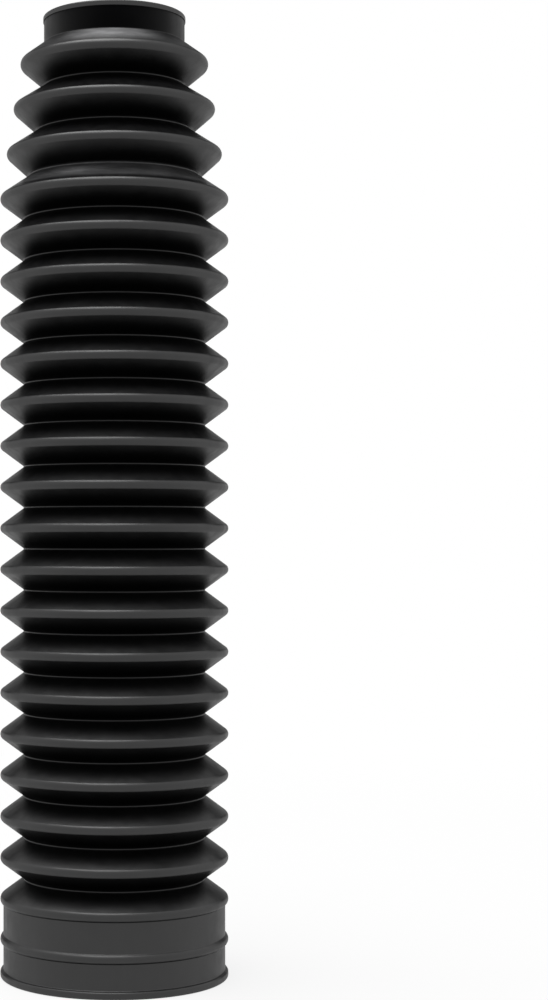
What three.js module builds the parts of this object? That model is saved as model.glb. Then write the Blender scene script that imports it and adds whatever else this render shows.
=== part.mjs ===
// Fork gaiter: the ribbed rubber sleeve that keeps dirt off a motorbike's fork tube.
// It is one moulding. From the top: a short collar that grips the fork tube, folds that
// widen downwards, equal folds, and a wide cuff that grips the fork slider.
// Millimetres, +Z up. It stands on the cuff's foot, with the origin at the foot's middle.
import * as THREE from "three";

// Collar, at the top
const collarBore = 18.5;
const collarWall = 1.8;
const collarHeight = 7.6;
const collarLipProud = 0.25;
const collarLipHeight = 1.5;
const collarLipEdge = 0.5;

// Cuff, at the bottom
const cuffBore = 30.0;
const cuffWall = 2.0;
const cuffHeight = 21.0;
const beadHeight = 3.4;
const beadCentre = 10.95;
const beadFillet = 1.2;
const footLipHeight = 2.2;
const footLipEdge = 0.7;

// The equal folds, the bead and the foot lip all stand this far out of the cuff
const rimProud = 0.9;

// Folds
const foldWall = 1.2;
const foldDepth = 6.7;
const foldPitch = 11.84;
const equalFolds = 18;
const crestFillet = 0.4; // inside the wall; outside it grows by the wall
const valleyFillet = 0.4; // outside the wall; inside it grows by the wall

// Widening folds, counted from the top
const wideningFolds = 3;
const wideningPitch = 13.05;
const topCrestRadius = 27.1;
const crestStep = 1.97;
const topValleyRadius = 20.5;
const valleyStep = 2.15;
const shoulderRise = 6.0; // from the top crest up to the collar

// Rounding of the small corners of lips and bores
const smallEdge = 0.4;

// Straight edges that stand for the round ones. A rounding of 0 edges is one corner.
const edgesAround = 32;
const wideRounding = 2;
const smallRounding = 1;
const tightRounding = 0;

const up = Math.PI / 2;
const down = -Math.PI / 2;

// Sizes that follow from the ones above
const collarRadius = collarBore + collarWall;
const cuffRadius = cuffBore + cuffWall;
const crestRadius = cuffRadius + rimProud;
const valleyRadius = crestRadius - foldDepth;
const crestRounding = crestFillet + foldWall;

// The outline is drawn taut round pegs. A peg is a circle at radius r and height z. Its bend is
// its radius, negative where the outline dips towards the axis. A plain corner has no bend.
function peg(r, z, bend = 0, edges = tightRounding) {
  return { r, z, bend, edges };
}

// The direction away from the axis, as an angle, of the straight line that touches two pegs.
function facing(a, b) {
  const alongR = b.r - a.r;
  const alongZ = b.z - a.z;
  const reach = Math.hypot(alongR, alongZ);
  return Math.atan2(alongZ, alongR) + Math.acos((a.bend - b.bend) / reach);
}

// The points where the outline goes round one peg.
function roundPeg(p, from, to) {
  const points = [];
  for (let i = 0; i <= p.edges; i++) {
    const share = p.edges ? i / p.edges : 0.5;
    const angle = from + (to - from) * share;
    points.push(new THREE.Vector2(p.r + p.bend * Math.cos(angle), p.z + p.bend * Math.sin(angle)));
  }
  return points;
}

// The points of a line drawn taut round a row of pegs, from the top down.
function tautLine(pegs, firstFacing, lastFacing) {
  const facings = [firstFacing];
  for (let i = 1; i < pegs.length; i++) facings.push(facing(pegs[i - 1], pegs[i]));
  facings.push(lastFacing);
  return pegs.flatMap((p, i) => roundPeg(p, facings[i], facings[i + 1]));
}

// How far below a crest's middle the fold's outside has come in by the rim's height.
function dropToCuff() {
  const halfPitch = foldPitch / 2;
  const crestMiddle = peg(crestRadius - crestRounding, 0, crestRounding);
  const valleyMiddle = peg(valleyRadius + valleyFillet, -halfPitch, -valleyFillet);
  const flank = facing(crestMiddle, valleyMiddle);
  const roundedIn = crestRounding * (1 - Math.cos(flank));
  if (rimProud < roundedIn) return Math.sqrt(crestRounding ** 2 - (crestRounding - rimProud) ** 2);
  return crestRounding * -Math.sin(flank) + (rimProud - roundedIn) / -Math.tan(flank);
}

// Radius and height of each crest and of the valley below it, from the top down.
function foldPlan() {
  const lowestCrest = cuffHeight + dropToCuff();
  const lowestWidening = lowestCrest + equalFolds * foldPitch - foldPitch + wideningPitch;
  const folds = [];
  for (let i = 0; i < wideningFolds; i++) {
    const crestZ = lowestWidening + (wideningFolds - 1 - i) * wideningPitch;
    folds.push({
      crestR: topCrestRadius + i * crestStep,
      crestZ,
      valleyR: topValleyRadius + i * valleyStep,
      valleyZ: crestZ - wideningPitch / 2,
    });
  }
  for (let i = 0; i < equalFolds; i++) {
    const crestZ = lowestCrest + (equalFolds - 1 - i) * foldPitch;
    folds.push({ crestR: crestRadius, crestZ, valleyR: valleyRadius, valleyZ: crestZ - foldPitch / 2 });
  }
  return folds;
}

// The pegs of the folds. A wall of 0 gives the outside, and foldWall the inside.
function foldPegs(folds, wall, crestEdges, valleyEdges) {
  const pegs = [];
  folds.forEach((fold, i) => {
    pegs.push(peg(fold.crestR - crestRounding, fold.crestZ, crestRounding - wall, crestEdges));
    if (i < folds.length - 1) {
      pegs.push(peg(fold.valleyR + valleyFillet, fold.valleyZ, -valleyFillet - wall, valleyEdges));
    }
  });
  return pegs;
}

// The outside, from the collar's lip down to the foot.
function outsideLine(folds, collarFoot, top) {
  const lipRadius = collarRadius + collarLipProud;
  const lipFoot = top - collarLipHeight;
  const pegs = [
    peg(lipRadius - collarLipEdge, top - collarLipEdge, collarLipEdge, smallRounding),
    peg(lipRadius, lipFoot),
    peg(collarRadius, lipFoot),
    peg(collarRadius + valleyFillet, collarFoot, -valleyFillet),
    ...foldPegs(folds, 0, wideRounding, tightRounding),
    peg(cuffRadius, cuffHeight),
    peg(cuffRadius, beadCentre + beadHeight / 2),
    peg(crestRadius - beadFillet, beadCentre, beadFillet, wideRounding),
    peg(cuffRadius, beadCentre - beadHeight / 2),
    peg(cuffRadius, footLipHeight),
    peg(crestRadius - smallEdge, footLipHeight - smallEdge, smallEdge),
    peg(crestRadius - footLipEdge, footLipEdge, footLipEdge, smallRounding),
  ];
  return tautLine(pegs, up, down);
}

// The inside, from the collar's mouth down to the cuff's mouth.
function insideLine(folds, collarFoot, top) {
  const pegs = [
    peg(collarBore + smallEdge, top - smallEdge, -smallEdge, smallRounding),
    peg(collarRadius + valleyFillet, collarFoot, -valleyFillet - collarWall, smallRounding),
    ...foldPegs(folds, foldWall, tightRounding, wideRounding),
    peg(cuffBore, cuffHeight),
    peg(cuffBore + smallEdge, smallEdge, -smallEdge, smallRounding),
  ];
  return tautLine(pegs, down, up);
}

function gaiterShape() {
  const folds = foldPlan();
  const collarFoot = folds[0].crestZ + shoulderRise;
  const top = collarFoot + collarHeight;
  const outside = outsideLine(folds, collarFoot, top);
  const inside = insideLine(folds, collarFoot, top);
  const loop = [...inside, ...outside.reverse(), inside[0].clone()];
  return new THREE.LatheGeometry(loop, edgesAround);
}

const rubber = new THREE.MeshStandardMaterial({ color: 0x1c1c1d, roughness: 0.45, metalness: 0 });

const gaiter = new THREE.Mesh(gaiterShape(), rubber);
gaiter.name = "fork_gaiter";
gaiter.rotation.x = Math.PI / 2; // the turned outline's own axis is Y

const part = new THREE.Group();
part.add(gaiter);

export default part;
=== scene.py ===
import math

import bpy
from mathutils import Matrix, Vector


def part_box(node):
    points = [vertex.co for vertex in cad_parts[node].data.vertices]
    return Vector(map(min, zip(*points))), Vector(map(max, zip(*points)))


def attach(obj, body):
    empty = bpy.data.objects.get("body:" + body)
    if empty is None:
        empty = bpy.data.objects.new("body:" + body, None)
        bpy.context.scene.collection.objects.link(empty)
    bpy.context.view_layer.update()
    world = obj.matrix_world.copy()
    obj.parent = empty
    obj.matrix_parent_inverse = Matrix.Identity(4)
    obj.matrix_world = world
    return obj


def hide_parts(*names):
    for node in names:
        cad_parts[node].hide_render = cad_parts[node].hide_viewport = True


# Fork gaiter: one black rubber moulding, standing on its cuff on a white sweep.
# Sizes are in millimetres and are turned into metres where the mesh is made.

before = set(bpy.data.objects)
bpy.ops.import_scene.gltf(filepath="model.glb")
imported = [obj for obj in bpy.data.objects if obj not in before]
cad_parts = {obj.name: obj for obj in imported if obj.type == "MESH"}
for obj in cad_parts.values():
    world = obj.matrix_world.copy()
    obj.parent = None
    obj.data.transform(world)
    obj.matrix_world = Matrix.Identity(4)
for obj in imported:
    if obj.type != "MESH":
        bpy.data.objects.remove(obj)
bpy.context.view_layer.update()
nodeName = "fork_gaiter"
lowCorner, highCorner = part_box(nodeName)
metre = 0.001  # one millimetre, in metres
print("frame:", nodeName, "is", [round(side / metre, 1) for side in highCorner - lowCorner], "mm")

up = math.pi / 2
down = -math.pi / 2

# the whole sleeve, and how finely its outline is drawn and turned
sleeve = {
    "rimRadius": highCorner.x / metre,  # crests, bead and foot lip all reach this far out
    "length": highCorner.z / metre,
    "aroundSteps": 128,
    "wideStep": math.radians(9.0),  # the turn of one edge of a wide rounding outside
    "tightStep": math.radians(26),  # and of a tight one, and of all of them inside
    "wideFrom": 1.0,  # a rounding from this radius up is a wide one
    "samePoint": 1e-6,  # points closer than this are one
}

collar = {
    "bore": 18.5,
    "wall": 1.8,
    "height": 7.6,
    "lipProud": 0.25,
    "lipHeight": 1.5,
    "lipEdge": 0.5,
    "shoulderFillet": 0.6,  # where the wall meets the first flank
}

cuff = {
    "bore": 30.0,
    "wall": 2.0,
    "height": 21.0,
    "beadHeight": 3.26,
    "beadCentre": 10.95,
    "beadFillet": 1.5,
    "footLipHeight": 2.2,
    "footLipEdge": 0.7,
    "footLipTopEdge": 0.75,
    "innerFillet": 0.4,  # where the wall meets the bead and the foot lip
    "mouthEdge": 0.4,  # at the mouth of either bore
}

folds = {
    "wall": 1.2,
    "depth": 6.7,
    "pitch": 11.84,
    "equalCount": 18,
    "crestFillet": 0.4,  # inside the wall
    "topCrestFillet": 0.6,  # the first crest is a little rounder
    "valleyFillet": 0.3,  # outside the wall
    "wideningCount": 3,
    "wideningPitch": 12.98,
    "topCrestRadius": 27.1,
    "crestStep": 1.97,
    "topValleyRadius": 20.5,
    "valleyStep": 2.15,
    "shoulderRise": 6.2,  # from the top crest up to the collar
}

# heights that the outline, the finish, the pale patches and the painted highlight are all placed by
collarFoot = sleeve["length"] - collar["height"]
lipFoot = sleeve["length"] - collar["lipHeight"]
topCrest = collarFoot - folds["shoulderRise"]
fourthCrest = topCrest - folds["wideningCount"] * folds["wideningPitch"]


def peg(r, z, bend=0.0):
    # the outline is drawn taut round pegs; a bend below 0 dips towards the axis
    return (r, z, bend)


def facing(a, b):
    # the outward direction of the straight line that touches two pegs
    alongR = b[0] - a[0]
    alongZ = b[1] - a[1]
    reach = math.hypot(alongR, alongZ)
    return math.atan2(alongZ, alongR) + math.acos((a[2] - b[2]) / reach)


def tautLine(pegs, firstFacing, lastFacing, wideStep):
    # points and their normals, in the r, z plane
    turns = [firstFacing]
    turns += [facing(pegs[i - 1], pegs[i]) for i in range(1, len(pegs))]
    turns += [lastFacing]
    line = []
    for i, (r, z, bend) in enumerate(pegs):
        first, last = turns[i], turns[i + 1]
        step = wideStep if abs(bend) >= sleeve["wideFrom"] else sleeve["tightStep"]
        count = max(1, math.ceil(abs(last - first) / step)) if bend else 1
        for k in range(count + 1):
            angle = first + (last - first) * k / count
            line.append((r + bend * math.cos(angle), z + bend * math.sin(angle), angle))
    return line


def foldPlan(crestRadius):
    # radius and height of each crest and of the valley below it, from the top down
    plan = []
    for i in range(folds["wideningCount"]):
        crestZ = topCrest - i * folds["wideningPitch"]
        crestR = folds["topCrestRadius"] + i * folds["crestStep"]
        valleyR = folds["topValleyRadius"] + i * folds["valleyStep"]
        plan.append((crestR, crestZ, valleyR, crestZ - folds["wideningPitch"] / 2))
    for i in range(folds["equalCount"]):
        crestZ = fourthCrest - i * folds["pitch"]
        valleyR = crestRadius - folds["depth"]
        plan.append((crestRadius, crestZ, valleyR, crestZ - folds["pitch"] / 2))
    return plan


def foldPegs(plan, wall):
    # a wall of 0 gives the outside
    pegs = []
    for i, (crestR, crestZ, valleyR, valleyZ) in enumerate(plan):
        crestBend = folds["wall"] + (folds["crestFillet"] if i else folds["topCrestFillet"])
        pegs.append(peg(crestR - crestBend, crestZ, crestBend - wall))
        if i < len(plan) - 1:
            pegs.append(peg(valleyR + folds["valleyFillet"], valleyZ, -folds["valleyFillet"] - wall))
    return pegs


def outline():
    # one closed loop: the inside from the top down, then the outside from the foot up
    rim = sleeve["rimRadius"]
    top = sleeve["length"]
    collarRadius = collar["bore"] + collar["wall"]
    cuffRadius = cuff["bore"] + cuff["wall"]
    lipRadius = collarRadius + collar["lipProud"]
    plan = foldPlan(rim)
    footHeight, footEdge, footTopEdge = cuff["footLipHeight"], cuff["footLipEdge"], cuff["footLipTopEdge"]
    beadMiddle, beadHalf = cuff["beadCentre"], cuff["beadHeight"] / 2
    mouth, inner = cuff["mouthEdge"], cuff["innerFillet"]
    innerRadius = cuffRadius + inner
    shoulderFillet = collar["shoulderFillet"]
    outside = [
        peg(lipRadius - collar["lipEdge"], top - collar["lipEdge"], collar["lipEdge"]),
        peg(lipRadius, lipFoot),
        peg(collarRadius, lipFoot),
        peg(collarRadius + shoulderFillet, collarFoot, -shoulderFillet),
        *foldPegs(plan, 0.0),
        peg(cuffRadius, cuff["height"]),
        peg(innerRadius, beadMiddle + beadHalf, -inner),
        peg(rim - cuff["beadFillet"], beadMiddle, cuff["beadFillet"]),
        peg(innerRadius, beadMiddle - beadHalf, -inner),
        peg(innerRadius, footHeight + inner, -inner),
        peg(rim - footTopEdge, footHeight - footTopEdge, footTopEdge),
        peg(rim - footEdge, footEdge, footEdge),
    ]
    inside = [
        peg(collar["bore"] + mouth, top - mouth, -mouth),
        peg(collarRadius + shoulderFillet, collarFoot, -shoulderFillet - collar["wall"]),
        *foldPegs(plan, folds["wall"]),
        peg(cuff["bore"], cuff["height"]),
        peg(cuff["bore"] + mouth, mouth, -mouth),
    ]
    outsideLine = tautLine(outside, up, down, sleeve["wideStep"])
    insideLine = tautLine(inside, down, up, sleeve["tightStep"])
    insideLine = [(r, z, angle + math.pi) for r, z, angle in insideLine]
    return insideLine + outsideLine[::-1]


def turnedMesh(name, loop, steps):
    # turns the closed loop round the axis, with the loop's own normals on the mesh
    spots = []
    owner = []
    for r, z, angle in loop:
        if not spots or math.dist((r, z), spots[-1]) > sleeve["samePoint"]:
            spots.append((r, z))
        owner.append(len(spots) - 1)
    count = len(spots)
    firstNormal = {}
    lastNormal = {}
    for index, (r, z, angle) in zip(owner, loop):
        firstNormal.setdefault(index, angle)
        lastNormal[index] = angle
    vertices = []
    for k in range(steps):
        turn = 2 * math.pi * k / steps
        c, s = math.cos(turn), math.sin(turn)
        vertices += [(r * c * metre, r * s * metre, z * metre) for r, z in spots]
    faces = []
    normals = []
    for k in range(steps):
        here, there = k * count, (k + 1) % steps * count
        for i in range(count):
            j = (i + 1) % count
            faces.append((here + i, there + i, there + j, here + j))
            for side, angle in ((k, lastNormal[i]), (k + 1, lastNormal[i]),
                                (k + 1, firstNormal[j]), (k, firstNormal[j])):
                turn = 2 * math.pi * side / steps
                flat = math.cos(angle)
                normals.append((flat * math.cos(turn), flat * math.sin(turn), math.sin(angle)))
    mesh = bpy.data.meshes.new(name)
    mesh.from_pydata(vertices, [], faces)
    mesh.update()
    for face in mesh.polygons:
        face.use_smooth = True
    mesh.normals_split_custom_set(normals)
    return mesh


def makeSleeve():
    mesh = turnedMesh("sleeve", outline(), sleeve["aroundSteps"])
    mesh.materials.append(makeRubber())
    piece = bpy.data.objects.new("sleeve", mesh)
    bpy.context.scene.collection.objects.link(piece)
    print("sleeve:", len(mesh.vertices), "vertices,", 2 * len(mesh.polygons), "triangles")
    return piece


# the rubber's finish, from its colour to its gloss
rubber = {
    "colour": (0.0016, 0.0016, 0.0018),
    "toneSpread": 0.3,
    "tonePatch": 9.0,  # patches and grains are given by their width in millimetres
    "roughness": 0.37,
    "roughnessSpread": 0.05,
    "roughnessPatch": 4.0,
    "roughnessNoise": (0.4, 1.1),  # the range of the two added patterns that is used
    "shoulderRoughness": 0.54,
    "collarRoughness": 0.5,
    "drawnWidth": 1.6,  # faint streaks down the wall, where it was drawn off its core
    "drawnStretch": 0.12,
    "drawnDetail": 2.0,
    "drawnShare": 0.5,
    "grain": 0.5,  # strength of the fine skin of the mould
    "grainSize": 0.45,
    "grainDetail": 2.0,
    "grainRoughness": 0.6,
    "grainDepth": 0.012,
    "wave": 0.5,  # strength of a very slight waviness
    "waveSize": 6.0,
    "waveDetail": 1.0,
    "waveDepth": 0.08,
    # where one finish passes into the next, in millimetres of height
    "crestToShoulder": (0.0, 1.0),  # from the first crest up: no longer painted with a fold's shade
    "shoulderStart": (0.9, 1.9),  # from the first crest up: rough as the shoulder
    "shoulderEnd": (-0.5, -0.25),  # from the collar's foot
    "lipStart": (-0.1, 0.0),  # from the foot of the collar's lip
    # gloss from face on to edge on: the folds are too rough to shine at their edges
    "foldGloss": [(0.0, 0.61), (0.30, 0.61), (0.44, 0.46), (0.58, 0.28), (0.78, 0.11), (1.0, 0.04)],
    "shoulderGloss": [(0.0, 0.6), (0.42, 0.6), (0.5, 0.52), (0.6, 0.29),
                      (0.7, 0.08), (0.78, 0.045), (1.0, 0.03)],
    "collarGloss": [(0.0, 0.01), (0.1, 0.04), (0.28, 0.095), (0.37, 0.13),
                    (0.49, 0.2), (0.7, 0.2), (1.0, 0.05)],
    # painted shade: the colour and the gloss go blacker down into a fold, from 0 at its crest to 1 at its
    # valley
    "shadeFrom": 0.15,
    "shadeTo": 0.8,
    "deepestShadeShare": 0.25,
    "valleyLine": (0.94, 0.98),
    "valleyShadeLift": 0.42,  # and less painted shade again along the valley itself
    # fine dust lies on what faces up
    "dust": 0.006,
    "dustSpread": (0.6, 1.3),
    "dustPatch": 2.5,
    "dustTilt": (0.5, 0.78),  # how far the skin has to face up for dust to stay, 1 being level
    # and takes the gloss from what leans up and is seen edge on
    "edgeTilt": (0.15, 0.65),
    "edgeView": (0.42, 0.69),  # 0 is face on and 1 edge on
    "dustyEdgeGloss": 0.014,  # the gloss that is left there
}

# A painted highlight on the shoulder, and pale patches on the fourth fold.
# Heights run from nothing to full and back.
# A turn is an angle from the front, in radians, with the left below 0.
paleAndPaintedHighlight = {
    "colour": (1.0, 1.0, 1.02),  # of the pale patches, the painted highlight and the dust, at full strength
    "streakSize": 5.0,
    "streakStretch": 5.0,  # how much longer than high a streak is
    "streakNoise": (0.35, 0.7),  # the range of the pattern that is used
    "streakSpread": (0.75, 1.15),  # and what it does to the film's strength
    "patches": {
        # a painted highlight on the shoulder, brightest in front and gone 0.8 of a radian aside
        "shoulder": {
            "strength": 0.172,
            "heights": (collarFoot - 4.9, collarFoot - 2.4, collarFoot - 0.55, collarFoot - 0.3),
            "turn": -0.04,
            "reach": 0.8,
            "faintest": 0.0,
        },
        # paler patches on the fourth fold's upper flank, all round and stronger left of the front
        "fourthFold": {
            "strength": 0.05,
            "heights": (fourthCrest + 1.6, fourthCrest + 2.8, fourthCrest + 6.4, fourthCrest + 7.0),
            "turn": -0.2,
            "reach": 1.3,
            "faintest": 0.75,
        },
        "fourthFoldLeft": {
            "strength": 0.088,
            "heights": (fourthCrest + 2.6, fourthCrest + 4.2, fourthCrest + 4.7, fourthCrest + 6.1),
            "turn": -0.41,
            "reach": 0.4,
            "faintest": 0.0,
        },
        "fourthFoldMiddle": {
            "strength": 0.012,
            "heights": (fourthCrest + 1.9, fourthCrest + 2.8, fourthCrest + 3.2, fourthCrest + 4.1),
            "turn": 0.1,
            "reach": 0.8,
            "faintest": 0.0,
        },
    },
}


def newNode(tree, kind, operation=None, **inputs):
    node = tree.nodes.new(kind)
    if operation:
        node.operation = operation
    for name, value in inputs.items():
        node.inputs[name].default_value = value
    return node


def plug(tree, value, socket):
    # a plain number is set on the socket, and a node's output is linked to it
    if isinstance(value, (int, float)):
        socket.default_value = value
    else:
        tree.links.new(value, socket)


def reckon(tree, operation, a, b=0.0):
    node = newNode(tree, "ShaderNodeMath", operation)
    plug(tree, a, node.inputs[0])
    plug(tree, b, node.inputs[1])
    return node.outputs[0]


def fade(tree, value, low, high, toLow=0.0, toHigh=1.0):
    # goes softly from one number to another while the value goes from low to high
    node = newNode(tree, "ShaderNodeMapRange")
    node.interpolation_type = "SMOOTHSTEP"
    plug(tree, value, node.inputs["Value"])
    for name, number in (("From Min", low), ("From Max", high), ("To Min", toLow), ("To Max", toHigh)):
        plug(tree, number, node.inputs[name])
    return node.outputs["Result"]


def blend(tree, share, first, second):
    node = newNode(tree, "ShaderNodeMix")
    plug(tree, share, node.inputs[0])
    plug(tree, first, node.inputs[2])
    plug(tree, second, node.inputs[3])
    return node.outputs[0]


noiseRange = (0.3, 0.7)  # most of a cloudy pattern's values lie in here


def mottle(tree, place, size, detail=3.0, roughness=0.5):
    # a cloudy pattern whose patches are about this many millimetres wide
    noise = newNode(tree, "ShaderNodeTexNoise", Scale=1 / (size * metre), Detail=detail, Roughness=roughness)
    tree.links.new(place, noise.inputs["Vector"])
    return noise.outputs[0]


def tint(tree, colour, strength):
    node = newNode(tree, "ShaderNodeVectorMath", "SCALE")
    node.inputs[0].default_value = colour
    plug(tree, strength, node.inputs["Scale"])
    return node.outputs[0]


def glossCurve(tree, value, steps):
    node = newNode(tree, "ShaderNodeFloatCurve")
    points = node.mapping.curves[0].points
    points[0].location = steps[0]
    points[1].location = steps[-1]
    for x, y in steps[1:-1]:
        points.new(x, y)
    node.mapping.update()
    tree.links.new(value, node.inputs["Value"])
    return node.outputs[0]


def rubberBump(tree, height, strength, depth, before=None):
    node = newNode(tree, "ShaderNodeBump", Strength=strength, Distance=depth * metre)
    tree.links.new(height, node.inputs["Height"])
    if before:
        tree.links.new(before, node.inputs["Normal"])
    return node.outputs["Normal"]


def stretched(tree, place, stretch):
    # a place whose heights are stretched, so that a pattern on it is squeezed or drawn out
    node = newNode(tree, "ShaderNodeVectorMath", "MULTIPLY")
    node.inputs[1].default_value = (1.0, 1.0, stretch)
    tree.links.new(place, node.inputs[0])
    return node.outputs[0]


def paleAndHighlightShare(tree, place, height, turn):
    # how strong the pale patches and the painted shoulder highlight are, by height and turn
    patchShare = 0.0
    for patch in paleAndPaintedHighlight["patches"].values():
        bottom, low, high, top = patch["heights"]
        rise, fall = fade(tree, height, bottom, low), fade(tree, height, high, top, 1.0, 0.0)
        band = reckon(tree, "MULTIPLY", rise, fall)
        aside = reckon(tree, "ABSOLUTE", reckon(tree, "SUBTRACT", turn, patch["turn"]))
        strongest, faintest = patch["strength"], patch["strength"] * patch["faintest"]
        patchStrength = fade(tree, aside, 0.0, patch["reach"], strongest, faintest)
        patchShare = reckon(tree, "ADD", reckon(tree, "MULTIPLY", band, patchStrength), patchShare)
    streaks = mottle(tree, stretched(tree, place, paleAndPaintedHighlight["streakStretch"]), paleAndPaintedHighlight["streakSize"])
    return reckon(tree, "MULTIPLY", patchShare, fade(tree, streaks, *paleAndPaintedHighlight["streakNoise"], *paleAndPaintedHighlight["streakSpread"]))


def foldShadeShare(tree, place, height):
    # painted shade: 1 on the crests, falling off down the flanks, with a little more again along the valleys
    radius = newNode(tree, "ShaderNodeVectorMath", "LENGTH")
    tree.links.new(stretched(tree, place, 0.0), radius.inputs[0])
    crest, rim = folds["topCrestRadius"], sleeve["rimRadius"]
    topValley = folds["topValleyRadius"] - folds["valleyStep"] / 2
    lines = []
    for lowRadius, topRadius in ((rim, crest), (rim - folds["depth"], topValley)):
        line = newNode(tree, "ShaderNodeMapRange", **{
            "From Min": fourthCrest, "From Max": topCrest,
            "To Min": lowRadius * metre, "To Max": topRadius * metre})
        tree.links.new(height, line.inputs["Value"])
        lines.append(line.outputs["Result"])
    depth = reckon(tree, "DIVIDE", reckon(tree, "SUBTRACT", lines[0], radius.outputs["Value"]),
                   reckon(tree, "SUBTRACT", lines[0], lines[1]))
    flank = fade(tree, depth, rubber["shadeFrom"], rubber["shadeTo"], 1.0, rubber["deepestShadeShare"])
    return reckon(tree, "ADD", flank, fade(tree, depth, *rubber["valleyLine"], 0.0, rubber["valleyShadeLift"]))


def makeRubber():
    material = bpy.data.materials.new("mouldedRubber")
    material.use_nodes = True
    tree = material.node_tree
    shader = tree.nodes["Principled BSDF"]
    own = newNode(tree, "ShaderNodeTexCoord")
    place = own.outputs["Object"]
    split = newNode(tree, "ShaderNodeSeparateXYZ")
    tree.links.new(place, split.inputs[0])
    lean = newNode(tree, "ShaderNodeSeparateXYZ")
    tree.links.new(own.outputs["Normal"], lean.inputs[0])
    facesUp = fade(tree, lean.outputs["Z"], *rubber["dustTilt"])
    height = reckon(tree, "MULTIPLY", split.outputs["Z"], 1 / metre)
    turn = reckon(tree, "ARCTAN2", split.outputs["X"], reckon(tree, "MULTIPLY", split.outputs["Y"], -1.0))
    shoulderStart, shoulderEnd = rubber["shoulderStart"], rubber["shoulderEnd"]
    aboveShoulder = fade(tree, height, *(collarFoot + away for away in shoulderEnd))
    belowLip = fade(tree, height, *(lipFoot + away for away in rubber["lipStart"]), 1.0, 0.0)
    onCollar = reckon(tree, "MULTIPLY", aboveShoulder, belowLip)
    onShoulder = fade(tree, height, *(topCrest + away for away in shoulderStart))
    onShoulder = reckon(tree, "SUBTRACT", onShoulder, aboveShoulder)
    aboveFolds = fade(tree, height, *(topCrest + away for away in rubber["crestToShoulder"]))
    # painted shade down into the folds, on the colour, the dust and the gloss; none above the first crest
    paintedFoldShade = blend(tree, aboveFolds, foldShadeShare(tree, place, height), 1.0)

    # colour: near black and a little uneven, with painted shade into the folds,
    # under dust, pale patches and the shoulder's painted highlight
    toneHalf = rubber["toneSpread"]
    tone = fade(tree, mottle(tree, place, rubber["tonePatch"]), *noiseRange, 1 - toneHalf, 1 + toneHalf)
    leastDust, mostDust = (share * rubber["dust"] for share in rubber["dustSpread"])
    dust = fade(tree, mottle(tree, place, rubber["dustPatch"]), *noiseRange, leastDust, mostDust)
    # the dust is painted darker into the folds along with the shade
    dust = reckon(tree, "MULTIPLY", dust, reckon(tree, "MULTIPLY", facesUp, paintedFoldShade))
    # the pale patches and the painted shoulder highlight are added to the colour with the dust
    pale = reckon(tree, "ADD", dust, paleAndHighlightShare(tree, place, height, turn))
    colour = newNode(tree, "ShaderNodeVectorMath", "ADD")
    tree.links.new(tint(tree, rubber["colour"], reckon(tree, "MULTIPLY", tone, paintedFoldShade)), colour.inputs[0])
    tree.links.new(tint(tree, paleAndPaintedHighlight["colour"], pale), colour.inputs[1])
    tree.links.new(colour.outputs[0], shader.inputs["Base Color"])

    # roughness: cloudy, with the faint streaks down the wall
    wall = stretched(tree, place, rubber["drawnStretch"])
    drawn = mottle(tree, wall, rubber["drawnWidth"], rubber["drawnDetail"])
    drawn = reckon(tree, "MULTIPLY", drawn, rubber["drawnShare"])
    uneven = reckon(tree, "ADD", mottle(tree, place, rubber["roughnessPatch"]), drawn)
    roughHalf = rubber["roughnessSpread"]
    rough = blend(tree, onShoulder, rubber["roughness"], rubber["shoulderRoughness"])
    rough = blend(tree, onCollar, rough, rubber["collarRoughness"])
    rough = reckon(tree, "ADD", rough, fade(tree, uneven, *rubber["roughnessNoise"], -roughHalf, roughHalf))
    tree.links.new(rough, shader.inputs["Roughness"])

    # skin: the fine grain of the mould over the waviness
    grain = mottle(tree, place, rubber["grainSize"], rubber["grainDetail"], rubber["grainRoughness"])
    wave = mottle(tree, place, rubber["waveSize"], rubber["waveDetail"])
    skin = rubberBump(tree, grain, rubber["grain"], rubber["grainDepth"])
    skin = rubberBump(tree, wave, rubber["wave"], rubber["waveDepth"], skin)
    tree.links.new(skin, shader.inputs["Normal"])

    # gloss: the folds' own with painted shade, dulled by dust, and then the shoulder's and the collar's
    edgeOn = newNode(tree, "ShaderNodeLayerWeight", Blend=0.5).outputs["Facing"]
    gloss = reckon(tree, "MULTIPLY", glossCurve(tree, edgeOn, rubber["foldGloss"]), paintedFoldShade)
    leansUp = fade(tree, lean.outputs["Z"], *rubber["edgeTilt"])
    dusty = reckon(tree, "MULTIPLY", leansUp, fade(tree, edgeOn, *rubber["edgeView"]))
    gloss = blend(tree, dusty, gloss, rubber["dustyEdgeGloss"])
    gloss = blend(tree, onShoulder, gloss, glossCurve(tree, edgeOn, rubber["shoulderGloss"]))
    gloss = blend(tree, onCollar, gloss, glossCurve(tree, edgeOn, rubber["collarGloss"]))
    tree.links.new(gloss, shader.inputs["Specular IOR Level"])
    print("rubber:", len(tree.nodes), "nodes")
    return material


# the white room, its floor and its lamp, in metres and watts
studio = {
    "floorSize": 8.0,
    "floorColour": (0.88, 0.88, 0.88, 1.0),
    "floorGlow": 0.8,  # the share of the floor that is plain white to the eye, so that shadows stay faint
    "shadowReach": (0.12, 0.6),  # further out the floor is all plain white
    "roomLight": 0.6,  # how strongly the room lights things
    "roomSeen": 1.0,  # and how bright it looks, straight or in a reflection
    "boxCentre": (-0.185, -0.09, 1.15),
    "boxAim": (0.0, 0.0, 0.15),
    "boxSize": (1.0, 0.7),
    "boxPower": 9.5,
}

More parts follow.
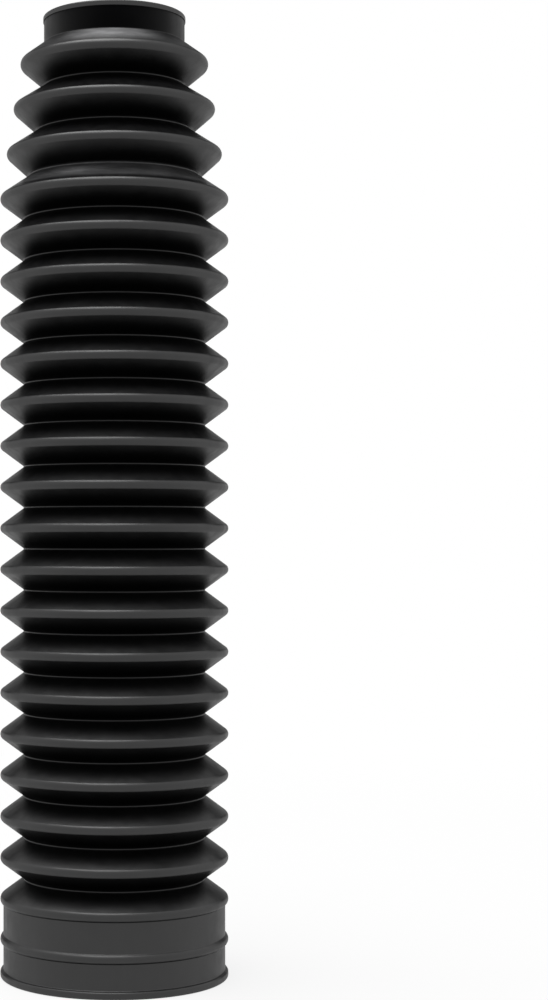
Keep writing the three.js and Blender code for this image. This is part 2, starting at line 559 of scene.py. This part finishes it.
camera = {
    "distance": 0.584,  # metres, from the sleeve's axis
    "height": 0.126,
    "lens": 72.76,  # millimetres, as the sensor is
    "sensor": 36.0,
    "axisX": 114.34,  # where the sleeve's axis falls in the picture, in pixels
    "horizonY": 538.8,  # and the eye's own height
    "imageWidth": 548,
    "imageHeight": 1000,
    "nearest": 0.01,
    "farthest": 50.0,
}


def seenRays(tree):
    # 1 for what the eye sees, straight or in a reflection, and 0 for light that spreads
    path = newNode(tree, "ShaderNodeLightPath")
    straight = reckon(tree, "MAXIMUM", path.outputs["Is Camera Ray"], path.outputs["Is Glossy Ray"])
    return reckon(tree, "MAXIMUM", straight, path.outputs["Is Transmission Ray"])


def makeFloor():
    half = studio["floorSize"] / 2
    mesh = bpy.data.meshes.new("floor")
    corners = [(-half, -half, 0), (half, -half, 0), (half, half, 0), (-half, half, 0)]
    mesh.from_pydata(corners, [], [(0, 1, 2, 3)])
    floor = bpy.data.objects.new("floor", mesh)
    bpy.context.scene.collection.objects.link(floor)
    material = bpy.data.materials.new("whiteSweep")
    material.use_nodes = True
    tree = material.node_tree
    tree.nodes.clear()
    paper = newNode(tree, "ShaderNodeBsdfDiffuse", Color=studio["floorColour"])
    glow = newNode(tree, "ShaderNodeEmission", Strength=1.0)
    mix = newNode(tree, "ShaderNodeMixShader")
    out = newNode(tree, "ShaderNodeOutputMaterial")
    away = newNode(tree, "ShaderNodeVectorMath", "LENGTH")
    tree.links.new(newNode(tree, "ShaderNodeTexCoord").outputs["Object"], away.inputs[0])
    share = fade(tree, away.outputs["Value"], *studio["shadowReach"], studio["floorGlow"], 1.0)
    tree.links.new(reckon(tree, "MULTIPLY", seenRays(tree), share), mix.inputs[0])
    tree.links.new(paper.outputs[0], mix.inputs[1])
    tree.links.new(glow.outputs[0], mix.inputs[2])
    tree.links.new(mix.outputs[0], out.inputs["Surface"])
    mesh.materials.append(material)
    print("floor:", studio["floorSize"], "m square")


def makeRoom():
    world = bpy.data.worlds.new("room")
    bpy.context.scene.world = world
    world.use_nodes = True
    tree = world.node_tree
    background = tree.nodes["Background"]
    background.inputs["Color"].default_value = (1, 1, 1, 1)
    level = fade(tree, seenRays(tree), 0.0, 1.0, studio["roomLight"], studio["roomSeen"])
    tree.links.new(level, background.inputs["Strength"])
    print("room: seen at", studio["roomSeen"], "and lighting at", studio["roomLight"])


def makeSoftBox():
    light = bpy.data.lights.new("overheadBox", "AREA")
    light.shape = "RECTANGLE"
    light.size, light.size_y = studio["boxSize"]
    light.energy = studio["boxPower"]
    lamp = bpy.data.objects.new("overheadBox", light)
    lamp.location = studio["boxCentre"]
    bpy.context.scene.collection.objects.link(lamp)
    aim = Vector(studio["boxAim"]) - lamp.location
    lamp.rotation_mode = "QUATERNION"
    lamp.rotation_quaternion = aim.to_track_quat("-Z", "Y")
    print("soft box:", studio["boxPower"], "W overhead")


def makeCamera():
    data = bpy.data.cameras.new("camera")
    data.lens = camera["lens"]
    data.sensor_width = camera["sensor"]
    longSide = max(camera["imageWidth"], camera["imageHeight"])
    data.shift_x = (camera["imageWidth"] / 2 - camera["axisX"]) / longSide
    data.shift_y = (camera["horizonY"] - camera["imageHeight"] / 2) / longSide
    data.clip_start, data.clip_end = camera["nearest"], camera["farthest"]
    eye = bpy.data.objects.new("camera", data)
    eye.location = (0, -camera["distance"], camera["height"])
    eye.rotation_euler = (math.pi / 2, 0, 0)
    bpy.context.scene.collection.objects.link(eye)
    bpy.context.scene.camera = eye
    print("camera:", camera["distance"], "m away,", camera["height"], "m high")


piece = makeSleeve()
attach(piece, "root")
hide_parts(nodeName)
makeFloor()
makeRoom()
makeSoftBox()
makeCamera()
bpy.context.scene.view_settings.view_transform = "Standard"
